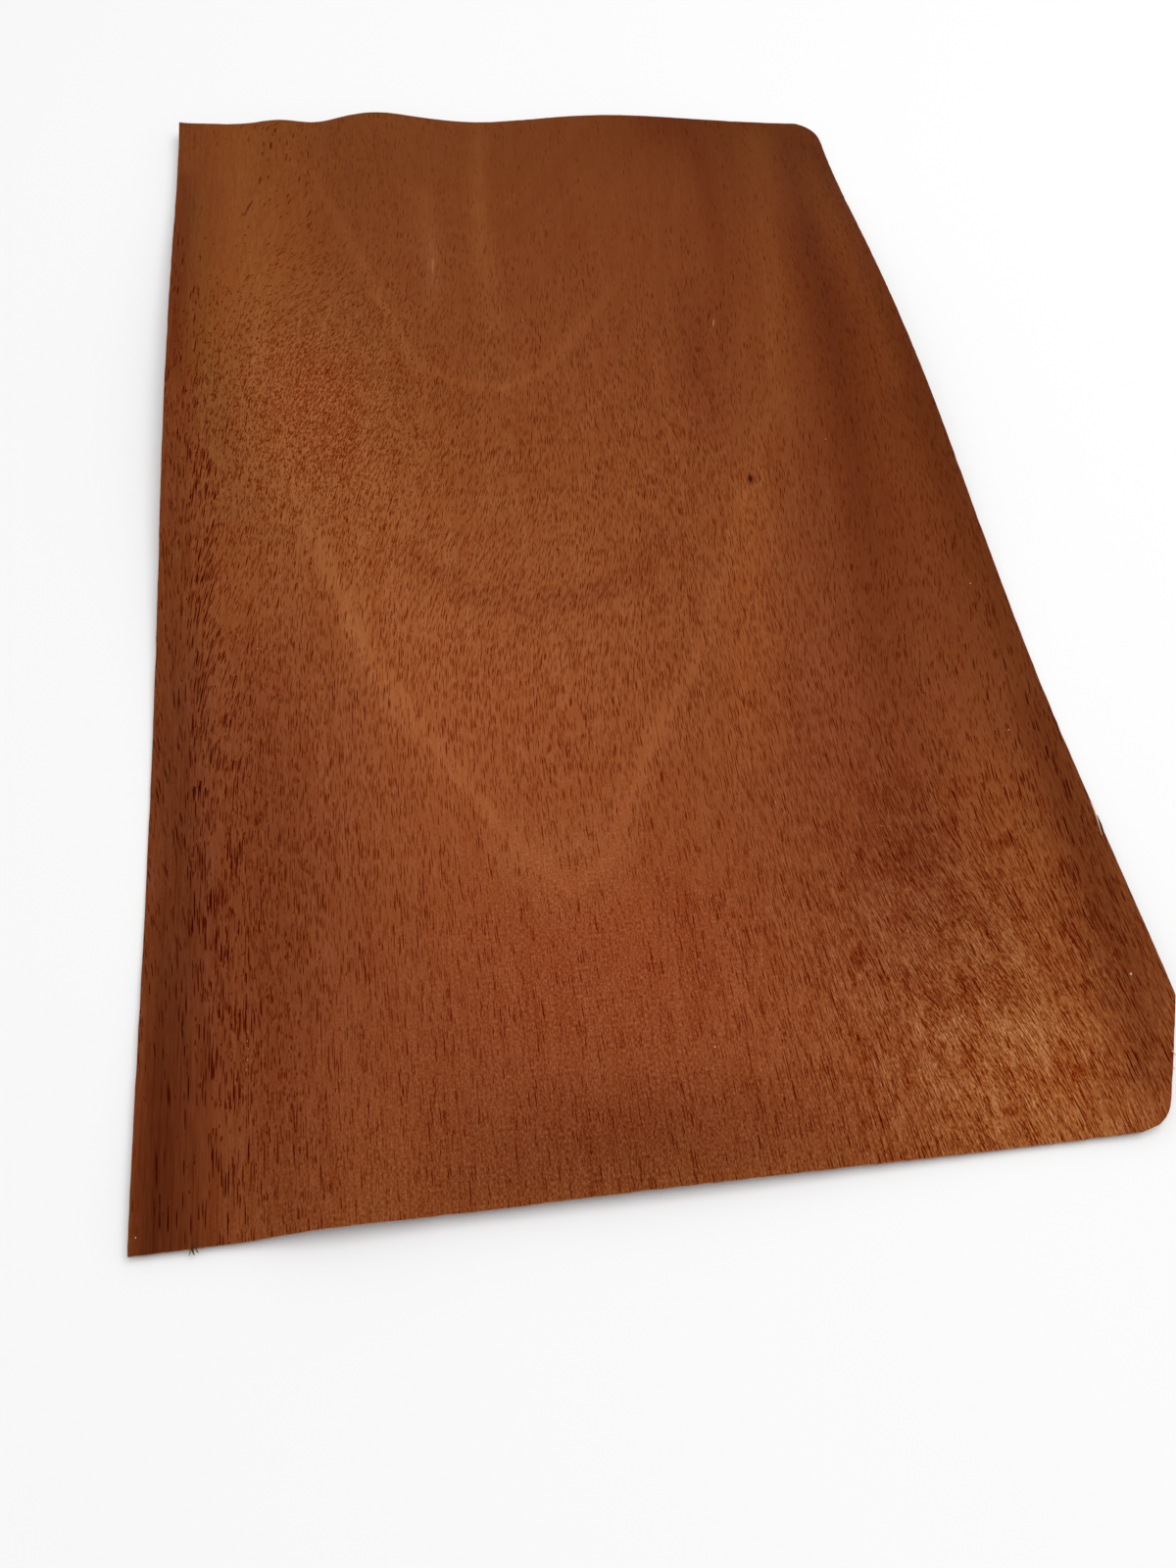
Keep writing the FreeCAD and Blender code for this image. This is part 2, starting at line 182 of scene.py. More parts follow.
# Soft patches: middle, radii, the tone, red and amber that each adds, and what else it adds
PATCHES = {
    "bright left middle": ((-52, -25), (24, 60), (0.35, -0.1, -0.1), {}),
    "bright middle": ((-25, -60), (45, 55), (0.4, 0.1, -0.05), {}),
    "middle glow": ((0, -10), (40, 70), (0.2, 0.05, 0.15), {}),
    # Painted shade: the far end is darkened and made less red, as less light falls there
    "painted shade, far end": ((5, 190), (140, 110), (-0.65, -1.2, 0.9), {}),
    # Painted shade: the far right corner is darkened, as less light falls there
    "painted shade, far right corner": ((80, 165), (45, 30), (-0.2, -0.05, -0.05), {}),
    "far red shade": ((50, 165), (14, 14), (-0.15, 0.4, 0.05), {}),
    "far right amber": ((93, 135), (8, 45), (0.05, -0.2, 0.3), {}),
    # Painted shade: the right side is darkened, as less light falls on it
    "painted shade, right side": ((96, 40), (45, 150), (-0.5, 0.25, 0.5), {}),
    "left shade": ((-66, -80), (15, 45), (-0.25, 0.1, 0.05), {}),
    "golden arch tip": ((-16, -97), (14, 10), (0.1, -0.35, -0.1), {"pores": -0.2}),
    # Near the right corner: the curly figure's own colour, and painted light that makes it brighter
    # and more golden
    "curl near right, with painted light": ((70, -158), (26, 24), (0.45, -0.15, 0.1), {"curl": 0.8}),
    "golden right": ((84, -100), (12, 34), (0.2, -0.1, 0.05), {"long_pores": 0.15}),
    "curly right": ((54, -128), (20, 26), (-0.35, 0.3, 0.05), {"curl": 1.0}),
    "dark flecks": ((58, -101), (7, 14), (-0.3, 0.3, -0.05), {"curl": 0.5, "pores": 0.4}),
    "near middle shade": ((-5, -158), (42, 14), (-0.4, 0.4, -0.1), {}),
    "near left gold": ((-56, -153), (10, 14), (0.1, -0.1, 0.1), {}),
    "red near middle": ((-5, -112), (36, 30), (0.05, 0.2, 0.05), {}),
    "red right of middle": ((45, -95), (12, 25), (-0.1, 0.1, 0.05), {}),
    "right lines": ((52, -75), (18, 45), (0.05, 0.15, -0.3), {"lines": 0.7}),
    "ring pores": ((-55, 25), (34, 60), (0.05, 0, 0.3), {}),
    "crowded ring pores": ((-62, 45), (20, 38), (0.5, -1.1, -0.7), {"ring_pores": 1.1}),
    "ring pores right": ((35, 10), (26, 50), (0.05, 0, 0), {"pores": 0.1}),
    "far left pores": ((-78, 120), (18, 50), (0.15, 0.05, 0.4), {"pores": -0.1}),
    "near right pores": ((62, -135), (34, 45), (0.4, -0.4, 0.1),
        {"pores": 0.95, "long_pores": 0.1, "lines": 0.5, "flecks": 0.3}),
    "curly pores": ((60, -138), (22, 32), (0.15, -0.35, -0.1), {"ring_pores": 0.3, "flecks": 0.2}),
    "middle pores": ((-15, -25), (60, 55), (0, -0.35, -0.15), {"pores": 0.5}),
    "far calm": ((20, 140), (90, 75), (0, 0.5, -0.1), {"pores": -0.42}),
    "far haze": ((10, 180), (150, 90), (0.25, 0.55, -0.15), {"crisp": -0.5}),
    "far left calm": ((-90, 125), (14, 45), (-0.1, 0, -0.05), {"pores": -0.45}),
    "right haze": ((100, 40), (40, 100), (0.1, 0, -0.1), {"crisp": -0.3}),
    "near middle flecks": ((-12, -116), (34, 28), (0.05, 0.15, 0),
        {"pores": -0.25, "flecks": 0.75, "crisp": -0.05}),
    "near flecks": ((-20, -167), (70, 34), (-0.05, -0.75, 0.8), {"pores": -0.3, "flecks": 0.85}),
    "near left calm": ((-92, -155), (9, 25), (-0.05, 0.3, 0.25), {"pores": -0.3, "flecks": -0.5}),
    "calm right of middle": ((66, 15), (20, 60), (0, 0.05, -0.1), {"pores": -0.3}),
    "right edge lines": ((91, -85), (9, 50), (-0.05, -0.1, -0.05),
        {"pores": -0.4, "long_pores": 0.2, "lines": 0.7}),
    "left middle pores": ((-60, -90), (14, 40), (0.05, -0.05, -0.1), {"pores": 0.15}),
    "near long pores": ((-45, -155), (45, 30), (0, 0.55, -0.45), {"lines": 0.45}),
    "near middle lines": ((20, -150), (50, 30), (0.25, 0.3, -0.35), {"lines": 0.9}),
}

# How far the long fibres lean to the right of the grain, in degrees: middle, radii, lean
FIBRE_LEANS = {
    "rings": ((-52, 50), (34, 60), 6),
    "far middle": ((0, 110), (60, 70), 4),
    "right of middle": ((66, 40), (30, 80), 8),
    "middle": ((-10, -30), (50, 45), 4),
    "near right": ((60, -135), (26, 45), -6),
    "far rings": ((-62, 95), (16, 28), 8),
}

# How far the short pores lean on top of that, where the fibres dive under the knife
PORE_LEANS = {
    "rings": ((-50, 40), (34, 60), 9),
    "far rings": ((-62, 95), (18, 26), 15),
    "middle": ((-12, -20), (32, 30), 12),
    "far middle": ((10, 90), (60, 60), 2),
    "left side": ((-99, -70), (8, 80), -9),
    "left long pores": ((-86, -30), (9, 40), 13),
    "right of middle": ((64, -42), (16, 32), 9),
    "right side": ((90, -60), (12, 60), 8),
    "near right": ((75, -150), (30, 30), -4),
    "curly right": ((58, -130), (16, 30), -13),
}

# Loose fibres at the edges: points with the height over the face, radius at the root, paleness
LOOSE_FIBRES = {
    "tuft, dark thread": (((-89.3, -166.3, 0.0), (-89.3, -167.2, -0.1), (-89.0, -168.0, -0.3)),
                          0.22, 0.0),
    "tuft, left fibre": (((-89.6, -166.5, -0.1), (-89.7, -167.3, -0.3), (-89.9, -167.9, -0.5)),
                         0.14, 0.2),
    "tuft, right fibre": (((-88.9, -166.5, -0.1), (-88.6, -167.3, -0.2), (-88.3, -167.7, -0.4)),
                          0.13, 0.1),
    "torn corner beside the tuft": (((-88.2, -166.6, -0.2), (-87.6, -167.1, -0.3)), 0.13, 0.3),
    "nib on the near edge": (((-67.6, -166.7, -0.3), (-67.4, -167.3, -0.4)), 0.14, 0.5),
    "split on the right edge": (((99.9, -95.0, 0.05), (99.8, -97.5, 0.10), (99.5, -100.5, 0.08),
                                 (99.2, -103.5, 0.0)), 0.17, 1.0),
    "sliver beside the split": (((99.9, -98.5, 0.1), (100.0, -101.0, 0.1), (99.8, -104.0, 0.0)),
                                0.13, 0.1),
    "spur where the corner is cut": (((99.3, -134.6, -0.2), (99.8, -136.2, -0.3),
                                      (100.1, -137.8, -0.4)), 0.22, 0.3),
    "chip on the cut corner": (((94.9, -152.6, -0.1), (95.5, -153.8, -0.2)), 0.20, 0.9),
    "second chip": (((93.6, -155.4, -0.2), (94.3, -156.2, -0.3)), 0.16, 0.8),
    "third chip": (((91.4, -159.3, -0.2), (91.9, -160.3, -0.3)), 0.13, 0.6),
}

TUBE_SIDES = 6
# The share of its radius that a fibre has lost at its tip
FIBRE_TAPER = 0.75

# Dust specks: place on the face and radius
DUST_SPECKS = (
    (92.8, -136.0, 0.26), (92.0, -31.0, 0.15), (88.0, -74.0, 0.15), (6.5, -141.5, 0.16),
    (-98.7, -164.0, 0.12), (-6.0, 73.0, 0.14), (67.6, 20.0, 0.14), (-78.0, -37.0, 0.13),
    (-80.1, -128.6, 0.07), (-80.2, -130.4, 0.08), (-80.0, -132.0, 0.07), (-80.2, -134.1, 0.09),
    (-80.3, -136.0, 0.07), (71.5, -118.0, 0.10), (52.0, -96.0, 0.10), (30.5, -88.0, 0.10),
    (14.0, -131.0, 0.09), (-33.0, -143.0, 0.09), (44.5, -152.0, 0.10), (-12.0, -70.0, 0.09),
)
# How long a speck is and how high its middle lies, in radii
DUST_STRETCH = 1.2
DUST_LIFT = 0.4

# What is painted on the leaf, with its plain level: tone from dark to light wood, redness, amber,
# how crowded three lengths of pores stand, curl, lines, flecks, and how crisp all of these look.
# Tone, red and amber carry painted shade and light in some patches as well as the wood's colour
COLOUR_CHANNELS = ("tone", "red", "amber")
CHANNELS = {"tone": -0.1, "red": 0.65, "amber": 0.45, "pores": 0.45, "ring_pores": 0.0,
            "long_pores": 0.0, "curl": 0.0, "lines": 0.2, "flecks": 0.15, "crisp": 1.0}


# Leaf shape

def gentle_noise(count, reach, seed):
    """Random numbers averaged over neighbours by a bell curve, scaled to lie within -1 to 1."""
    raw = np.random.default_rng(seed).normal(size=count + 6 * reach)
    weight = np.exp(-np.linspace(-3, 3, 6 * reach + 1) ** 2 / 2)
    smooth = np.convolve(raw, weight / weight.sum(), mode="valid")
    return smooth / np.abs(smooth).max()


def read_node_faces():
    """The corners of the solid's triangles in millimetres, and each triangle's outward normal."""
    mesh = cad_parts[NODE].data
    corner = np.zeros(len(mesh.vertices) * 3)
    mesh.vertices.foreach_get("co", corner)
    index = np.zeros(len(mesh.polygons) * 3, dtype=int)
    mesh.polygons.foreach_get("vertices", index)
    places = corner.reshape(-1, 3)[index.reshape(-1, 3)] / MM
    normal = np.cross(places[:, 1] - places[:, 0], places[:, 2] - places[:, 0])
    length = np.linalg.norm(normal, axis=1, keepdims=True)
    return places, normal / np.maximum(length, 1e-12)


def spline_shares(place, spans):
    """Cubic B-spline shares of evenly spaced poles at places from -1 to 1, a row for each place:
    at a distance of d spans a pole's share is (4 - 6 d^2 + 3 d^3) / 6 up to one span and
    (2 - d)^3 / 6 up to two."""
    pole = np.arange(-1, spans + 2)
    d = np.abs((place.reshape(-1, 1) + 1) / 2 * spans - pole)
    near = (4 - 6 * d ** 2 + 3 * d ** 3) / 6
    return np.where(d < 1, near, np.clip(2 - d, 0, None) ** 3 / 6)


def fit_height(places, normal):
    """Least squares fit of a grid of cubic B-spline poles to the solid's upper face. Returns the
    function that gives the height for whole arrays of places."""
    faces_up = normal[:, 2] > 0.5
    upper = places[faces_up].reshape(-1, 3)
    across = spline_shares(upper[:, 0] / HALF_WIDTH, SPANS_ACROSS)
    along = spline_shares(upper[:, 1] / HALF_LENGTH, SPANS_ALONG)
    terms = (across[:, :, None] * along[:, None, :]).reshape(len(upper), -1)
    poles = np.linalg.lstsq(terms, upper[:, 2], rcond=1e-6)[0]
    poles = poles.reshape(across.shape[1], along.shape[1])

    def height(x, y):
        across = spline_shares(x / HALF_WIDTH, SPANS_ACROSS) @ poles
        return (across * spline_shares(y / HALF_LENGTH, SPANS_ALONG)).sum(1).reshape(x.shape)
    return height


def side_limit(places, normal, y):
    """The right side's X at each Y, read along the solid's own right side faces."""
    faces_right = (normal[:, 0] > 0.02) & (np.abs(normal[:, 2]) < 0.3)
    side = places[faces_right].reshape(-1, 3)
    order = np.argsort(side[:, 1])
    return np.interp(y, side[order, 1], side[order, 0])


def leaf_grid(settings, places, normal):
    """Places of the grid: rows run along the leaf, closer together at its ends by a sine, and
    columns share the width left between the two sides at each row. The sides and ends are moved
    inwards by a little gentle noise, as a knife leaves them, and the rows near an end follow it."""
    rows, columns = settings.rows, settings.columns

    def wander(edge, count):
        reach, seed = CUT_WANDER[edge]
        return settings.raggedness / MM * np.abs(gentle_noise(count, reach, seed))

    run = np.linspace(-1, 1, rows + 1)
    share = np.linspace(0, 1, columns + 1)[None, :]
    crowded = np.sin(run * math.pi / 2)
    y_row = HALF_LENGTH * ((1 - END_CROWDING) * run + END_CROWDING * crowded)
    left = -HALF_WIDTH + wander("left", rows + 1)
    right = side_limit(places, normal, y_row) - wander("right", rows + 1)
    x = left[:, None] + share * (right - left)[:, None]
    near_weight = np.clip(1 - (y_row + HALF_LENGTH) / END_REACH, 0, 1)[:, None]
    far_weight = np.clip(1 - (HALF_LENGTH - y_row) / END_REACH, 0, 1)[:, None]
    y = y_row[:, None] + wander("near", columns + 1) * near_weight
    return x, y - wander("far", columns + 1) * far_weight


# Figure of the wood

def distance_along(points, x, y):
    """Distance from every place to a line through the points, and the share of the way along it
    of the nearest spot, found as the least distance over the line's straight parts."""
    points = np.array(points, float)
    best = np.full(x.shape, np.inf)
    where = np.zeros(x.shape)
    for part in range(len(points) - 1):
        (x0, y0), (x1, y1) = points[part], points[part + 1]
        dx, dy = x1 - x0, y1 - y0
        share = np.clip(((x - x0) * dx + (y - y0) * dy) / (dx * dx + dy * dy), 0, 1)
        distance = np.hypot(x - x0 - share * dx, y - y0 - share * dy)
        closer = distance < best
        best = np.where(closer, distance, best)
        where = np.where(closer, part + share, where)
    return best, where


def bell(x, y, middle, radii):
    """Bell curve that falls to 1/e at the radii."""
    return np.exp(-((x - middle[0]) / radii[0]) ** 2 - ((y - middle[1]) / radii[1]) ** 2)


def paint_channels(x, y):
    """Each channel is its plain level plus every streak's and patch's share at each place. A
    streak is a bell curve of the distance from its line times the strength along the line."""
    painted = {name: np.full(x.shape, level) for name, level in CHANNELS.items()}

    def paint(cover, colour, others):
        for name, amount in (*zip(COLOUR_CHANNELS, colour), *others.items()):
            painted[name] += amount * cover

    for half_width, colour, others, points in STREAKS.values():
        distance, where = distance_along([point[:2] for point in points], x, y)
        strength = np.interp(where, range(len(points)), [point[2] for point in points])
        paint(strength * np.exp(-(distance / half_width) ** 2), colour, others)
    for middle, radii, colour, others in PATCHES.values():
        paint(bell(x, y, middle, radii), colour, others)
    return painted


def ring_age(x, y):
    """Counts rings from the outer arch inwards: 0 on the outer, 1 on the middle and 2 on the inner
    arch, in even steps along Y between them, and at a set spread beyond them."""
    outer, middle, inner = (
        np.interp(x, [p[0] for p in arch], [p[1] for p in arch]) for arch in RING_ARCHES)
    between = (y - outer) / (middle - outer)
    further = 1 + (y - middle) / (inner - middle)
    age = np.where(y < outer, (y - outer) / RING_SPREAD_OUTSIDE, between)
    age = np.where(y > middle, further, age)
    return np.where(y > inner, 2 + (y - inner) / RING_SPREAD_INSIDE, age)


def lean_slope(leans, x, y):
    """Sideways step for each step along the grain: the tangent of the sum of the patches' leans,
    each a bell curve about its middle."""
    lean = np.zeros(x.shape)
    for middle, radii, degrees in leans.values():
        lean += degrees * bell(x, y, middle, radii)
    return np.tan(np.radians(lean))


def fibre_place(x, y):
    """Across-the-grain place of the fibre at each spot: X less the fibre's sideways drift, which
    is the running sum of its slope along each grid column, from the near end."""
    slope = lean_slope(FIBRE_LEANS, x, y)
    step = np.diff(y, axis=0)
    drift = np.zeros(x.shape)
    drift[1:] = np.cumsum((slope[1:] + slope[:-1]) / 2 * step, axis=0)
    return x - drift


# Meshes

def grid_quads(rows, columns, start):
    """Corner numbers of a grid's squares, counter-clockwise seen from above."""
    number = start + np.arange((rows + 1) * (columns + 1)).reshape(rows + 1, columns + 1)
    return np.stack([number[:-1, :-1], number[:-1, 1:], number[1:, 1:], number[1:, :-1]], -1)


def strip_quads(top, bottom):
    """Squares of an edge wall between a run of upper corners and the lower ones beneath them."""
    return np.stack([bottom[:-1], bottom[1:], top[1:], top[:-1]], -1)


def make_mesh(name, vertices, quads):
    """A mesh from arrays of places in millimetres and of four corners a face."""
    mesh = bpy.data.meshes.new(name)
    quads = quads.reshape(-1, 4)
    mesh.vertices.add(len(vertices))
    mesh.vertices.foreach_set("co", (vertices * MM).astype(np.float32).ravel())
    mesh.loops.add(quads.size)
    mesh.loops.foreach_set("vertex_index", quads.ravel().astype(np.int32))
    mesh.polygons.add(len(quads))
    mesh.polygons.foreach_set("loop_start", np.arange(0, quads.size, 4, dtype=np.int32))
    mesh.update(calc_edges=True)
    return mesh


def add_uv(mesh, name, corners):
    """A map with one place for each corner of each face."""
    layer = mesh.uv_layers.new(name=name, do_init=False)
    layer.uv.foreach_set("vector", corners.astype(np.float32).ravel())


def add_values(mesh, name, values):
    """One number for each vertex, for a shader to read."""
    layer = mesh.attributes.new(name, "FLOAT", "POINT")
    layer.data.foreach_set("value", values.astype(np.float32).ravel())


def finish_piece(mesh, materials):
    """Puts a finished mesh into the scene at the origin and lets it ride on the leaf's body."""
    piece = bpy.data.objects.new(mesh.name, mesh)
    bpy.context.scene.collection.objects.link(piece)
    for material in materials:
        mesh.materials.append(material)
    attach(piece, BODY)
    return piece


def place_in(part, box):
    """Scales places from 0 to 1 into a box of the bake's map, given as left, low, right, high."""
    low, high = np.array(box[:2]), np.array(box[2:])
    return low + part * (high - low)


# Where each part of the leaf lies on the bake's map: left, low, right, high
BAKE_BOXES = {
    "top": (0.003, 0.003, 0.597, 0.997),
    "under": (0.603, 0.003, 0.997, 0.655),
    "near": (0.603, 0.70, 0.997, 0.71),
    "far": (0.603, 0.73, 0.997, 0.74),
    "left": (0.603, 0.76, 0.997, 0.77),
    "right": (0.603, 0.79, 0.997, 0.80),
}


def build_leaf_mesh(settings):
    """The closed leaf: an upper grid on the fitted height, the same grid one thickness lower with
    its squares turned over, and four walls between their rims."""
    places, normal = read_node_faces()
    height = fit_height(places, normal)
    x, y = leaf_grid(settings, places, normal)
    top_height = height(x, y)
    rows, columns = settings.rows, settings.columns
    top = np.stack([x, y, top_height], -1).reshape(-1, 3)
    under = top - (0, 0, settings.thickness / MM)
    count = len(top)
    number = np.arange(count).reshape(rows + 1, columns + 1)
    upper = grid_quads(rows, columns, 0)
    lower = grid_quads(rows, columns, count)[..., ::-1]
    rims = {
        "near": number[0, :],
        "far": number[-1, ::-1],
        "left": number[::-1, 0],
        "right": number[:, -1],
    }
    walls = {name: strip_quads(rim, rim + count) for name, rim in rims.items()}
    quads = np.concatenate([upper.reshape(-1, 4), lower.reshape(-1, 4), *walls.values()])
    mesh = make_mesh("veneer_leaf", np.concatenate([top, under]), quads)

    across, along = np.meshgrid(np.linspace(0, 1, columns + 1), np.linspace(0, 1, rows + 1))
    flat = np.stack([across, along], -1).reshape(-1, 2)
    bake = [place_in(flat[upper.reshape(-1)], BAKE_BOXES["top"]),
            place_in(flat[lower.reshape(-1) - count], BAKE_BOXES["under"])]
    for name, wall in walls.items():
        run = np.arange(len(wall)) / len(wall)
        step = 1 / len(wall)
        corners = np.stack([
            np.stack([run, 0 * run], -1), np.stack([run + step, 0 * run], -1),
            np.stack([run + step, 0 * run + 1], -1), np.stack([run, 0 * run + 1], -1)], 1)
        bake.append(place_in(corners.reshape(-1, 2), BAKE_BOXES[name]))
    add_uv(mesh, "OFBake", np.concatenate(bake))

    grain = np.stack([fibre_place(x, y), y], -1).reshape(-1, 2)
    add_uv(mesh, "Grain", grain[quads.reshape(-1) % count])
    for name, values in paint_channels(x, y).items():
        add_values(mesh, name, np.tile(values.ravel(), 2))
    add_values(mesh, "ring_age", np.tile(ring_age(x, y).ravel(), 2))
    add_values(mesh, "pore_lean", np.tile(lean_slope(PORE_LEANS, x, y).ravel(), 2))

    wall_count = sum(len(wall) for wall in walls.values())
    is_wall = np.arange(len(quads)) >= len(quads) - wall_count
    mesh.polygons.foreach_set("use_smooth", ~is_wall)
    mesh.polygons.foreach_set("material_index", is_wall.astype(np.int32))
    mesh.set_sharp_from_angle(angle=math.radians(SHARP_ANGLE))
    mesh.update()
    return mesh


def ring_tubes(lines):
    """Closed six-sided tubes round lines of points with a radius at each point. A ring stands
    square to its line, and each end is closed by two squares of its six corners."""
    vertices, quads = [], []
    angle = np.arange(TUBE_SIDES) * 2 * math.pi / TUBE_SIDES
    count = 0
    for points, radii in lines:
        points = np.array(points, float)
        forward = np.gradient(points, axis=0)
        forward /= np.linalg.norm(forward, axis=1, keepdims=True)
        side = np.cross(forward, (0, 0, 1))
        side /= np.linalg.norm(side, axis=1, keepdims=True)
        up = np.cross(side, forward)
        ring = np.cos(angle)[:, None] * side[:, None] + np.sin(angle)[:, None] * up[:, None]
        vertices.append((points[:, None] + np.array(radii)[:, None, None] * ring).reshape(-1, 3))
        number = count + np.arange(len(points) * TUBE_SIDES).reshape(-1, TUBE_SIDES)
        turned = np.roll(number, -1, axis=1)
        wall = np.stack([number[:-1], number[1:], turned[1:], turned[:-1]], -1).reshape(-1, 4)
        ends = [number[0][[0, 1, 2, 3]], number[0][[0, 3, 4, 5]],
                number[-1][[3, 2, 1, 0]], number[-1][[5, 4, 3, 0]]]
        quads.append(np.concatenate([wall, ends]))
        count += number.size
    return np.concatenate(vertices), np.concatenate(quads)


def lift_to_face(points, height):
    """Points on the leaf, with their third number counted up from the face under them."""
    points = np.array(points, float)
    x = np.clip(points[:, 0], -HALF_WIDTH, HALF_WIDTH)
    y = np.clip(points[:, 1], -HALF_LENGTH, HALF_LENGTH)
    points[:, 2] += height(x, y)
    return points


def build_fibre_mesh(height):
    """The loose fibres: tubes with their paleness, whose radius at a share s of the way to the tip
    is the root's times 1 - taper s^2."""
    lines, paleness = [], []
    for points, radius, pale in LOOSE_FIBRES.values():
        thinning = 1 - FIBRE_TAPER * np.linspace(0, 1, len(points)) ** 2
        lines.append((lift_to_face(points, height), radius * thinning))
        paleness.append(np.full(len(points) * TUBE_SIDES, pale))
    mesh = make_mesh("loose_fibres", *ring_tubes(lines))
    add_values(mesh, "pale", np.concatenate(paleness))
    return mesh


def build_dust_mesh(height):
    """The dust: small lying grains, each a ball of rings whose radius is the square root of
    1 - t^2 at t from -1 to 1 along it."""
    along = np.array([-0.95, -0.6, 0.0, 0.6, 0.95])
    lines = []
    for x, y, radius in DUST_SPECKS:
        points = np.stack([x + 0 * along, y + along * radius * DUST_STRETCH, 0 * along], -1)
        points = lift_to_face(points, height) + (0, 0, radius * DUST_LIFT)
        lines.append((points, radius * np.sqrt(1 - along ** 2)))
    return make_mesh("dust_specks", *ring_tubes(lines))


# Shader helpers

class Reading:
    """What a socket gives at each place on the surface. Sums and products of readings become
    nodes, so that a formula stands in a shader as it does on paper."""
    node_kind = "ShaderNodeMath"

    def __init__(self, socket):
        self.socket = socket

    def calc(self, operation, *others, **settings):
        """The result of one Math node for this reading and the others."""
        node = add_node(self.socket.id_data, self.node_kind, dict(enumerate((self, *others))),
                        operation=operation, **settings)
        return type(self)(node.outputs[0])

    def __add__(self, other):
        return self.calc("ADD", other)

    def __sub__(self, other):
        return self.calc("SUBTRACT", other)

    def __mul__(self, other):
        return self.calc("MULTIPLY", other)

    def __truediv__(self, other):
        return self.calc("DIVIDE", other)

    def at_least(self, other):
        return self.calc("MAXIMUM", other)


class VectorReading(Reading):
    """A place, direction or colour that a socket gives."""
    node_kind = "ShaderNodeVectorMath"

    def length(self):
        node = add_node(self.socket.id_data, self.node_kind, {0: self}, operation="LENGTH")
        return Reading(node.outputs["Value"])


def fill(socket, value):
    """Links the socket where the value is a reading, and sets it otherwise."""
    if isinstance(value, Reading):
        socket.id_data.links.new(value.socket, socket)
    else:
        socket.default_value = value


def add_node(tree, kind, inputs=None, **settings):
    """Adds a node, sets its options and fills its inputs."""
    node = tree.nodes.new(kind)
    for name, value in settings.items():
        setattr(node, name, value)
    for key, value in (inputs or {}).items():
        fill(node.inputs[key], value)
    return node


def attribute(tree, name):
    """The number painted on the mesh under that name."""
    return Reading(add_node(tree, "ShaderNodeAttribute", attribute_name=name).outputs["Fac"])


def noise(tree, inputs, dimensions="3D"):
    """Noise from 0 to 1, one wave for each unit unless another scale is given."""
    node = add_node(tree, "ShaderNodeTexNoise", {"Scale": 1.0, **inputs},
                    noise_dimensions=dimensions)
    return Reading(node.outputs[0])


def vector(tree, *parts):
    """A vector put together from two or three readings or numbers."""
    node = add_node(tree, "ShaderNodeCombineXYZ", dict(enumerate(parts)))
    return VectorReading(node.outputs[0])


# The Mix node's colour sockets, whose names its other kinds share
MIX_A, MIX_B, MIX_RESULT = 6, 7, 2


def mix_colour(share, first, second, blend="MIX"):
    """The first colour with a share of the second laid over it."""
    node = add_node(share.socket.id_data, "ShaderNodeMix", {0: share, MIX_A: first, MIX_B: second},
                    data_type="RGBA", blend_type=blend)
    return VectorReading(node.outputs[MIX_RESULT])


def new_group(name, inputs, output):
    """A shader group that takes the named numbers and vectors, given with their defaults, and
    puts out one number. Returns its tree and a reading of each input."""
    tree = bpy.data.node_groups.new(name, "ShaderNodeTree")
    for label, default in inputs.items():
        kind = "NodeSocketVector" if isinstance(default, tuple) else "NodeSocketFloat"
        socket = tree.interface.new_socket(label, in_out="INPUT", socket_type=kind)
        socket.default_value = default
    tree.interface.new_socket(output, in_out="OUTPUT", socket_type="NodeSocketFloat")
    sockets = tree.nodes.new("NodeGroupInput").outputs
    return tree, {
        label: (VectorReading if isinstance(default, tuple) else Reading)(sockets[label])
        for label, default in inputs.items()}


def finish_group(tree, result):
    """Puts the group's number out."""
    fill(tree.nodes.new("NodeGroupOutput").inputs[0], result)
    return tree


def use_group(tree, group, inputs):
    """The number that a group puts out for these inputs."""
    node = add_node(tree, "ShaderNodeGroup", inputs, node_tree=group)
    return Reading(node.outputs[0])


# Shader groups

ORIGIN = (0.0, 0.0, 0.0)

# Least and most of a pore's size and darkness, and the share of its radius that its rim fades over
PORE_SIZES = (0.6, 1.3)
PORE_DARKNESS = (0.4, 1.0)
PORE_RIM = 0.4

NOISE_SWING = 3.0
FIBRE_ROUGHNESS = 0.55

# How many arches a ring line strays, and the waves of that for each millimetre
RING_WANDER = 0.16
RING_WANDER_SCALE = 0.04

# The share of a spot that is fully covered, and the waves along its rim
SPOT_CORE = 0.45
SPOT_RIM_SCALE = 1.7


def swing(wave):
    """Noise from 0 to 1 made to swing about 0, mostly within -1 to 1."""
    return (wave - 0.5) * NOISE_SWING


def between(limits, share):
    """A reading from 0 to 1 stretched to lie between two limits."""
    low, high = limits
    return share * (high - low) + low


